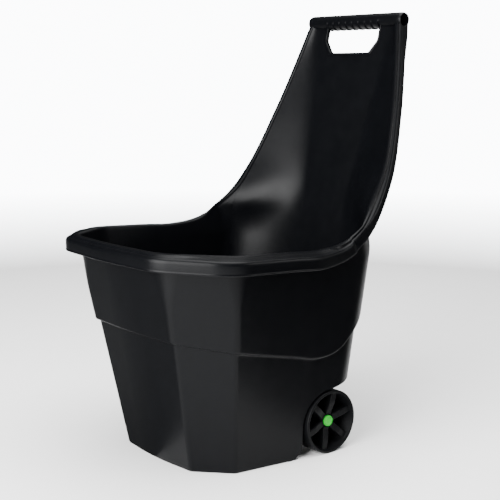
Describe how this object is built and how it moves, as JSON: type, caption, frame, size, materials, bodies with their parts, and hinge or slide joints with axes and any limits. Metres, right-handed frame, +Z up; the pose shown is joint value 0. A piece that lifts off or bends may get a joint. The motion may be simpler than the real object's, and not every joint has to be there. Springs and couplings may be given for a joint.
{
  "type": "garden cart",
  "caption": "Moulded garden cart with a deep open tub, a tall curved back ending in a ribbed tube handle, and spoked rear wheels on a cross axle.",
  "frame": {"origin": "on the ground, on the centre plane, on the flat underside of the tub near the middle of its depth", "axes": "+Z up, -Y towards the low nose of the tub, +Y towards the handle, X across the cart along the axle"},
  "size_m": [0.504, 0.6491, 0.845],
  "materials": {
    "tub_plastic": "satin, finely grained black polypropylene",
    "wheel_plastic": "satin black plastic",
    "axle_steel": "zinc plated bar",
    "washer_steel": "zinc plated",
    "spring_steel": "sprung steel",
    "cap_plastic": "green plastic"
  },
  "bodies": {
    "tub_body": {"tub": "tub_plastic"},
    "axle_set": {"axle": "axle_steel", "washer_left": "washer_steel", "washer_right": "washer_steel", "push_nut_left": "spring_steel", "push_nut_right": "spring_steel", "hub_cap_left": "cap_plastic", "hub_cap_right": "cap_plastic"},
    "left_wheel": {"wheel_left": "wheel_plastic"},
    "right_wheel": {"wheel_right": "wheel_plastic"}
  },
  "joints": [
    {"name": "axle_turn", "type": "hinge", "parent": "tub_body", "child": "axle_set", "pos_m": [0, 0.0935, 0.0623], "axis": [1, 0, 0], "continuous": true},
    {"name": "left_wheel_spin", "type": "hinge", "parent": "axle_set", "child": "left_wheel", "pos_m": [-0.173, 0.0935, 0.0623], "axis": [1, 0, 0], "continuous": true},
    {"name": "right_wheel_spin", "type": "hinge", "parent": "axle_set", "child": "right_wheel", "pos_m": [0.173, 0.0935, 0.0623], "axis": [1, 0, 0], "continuous": true}
  ]
}
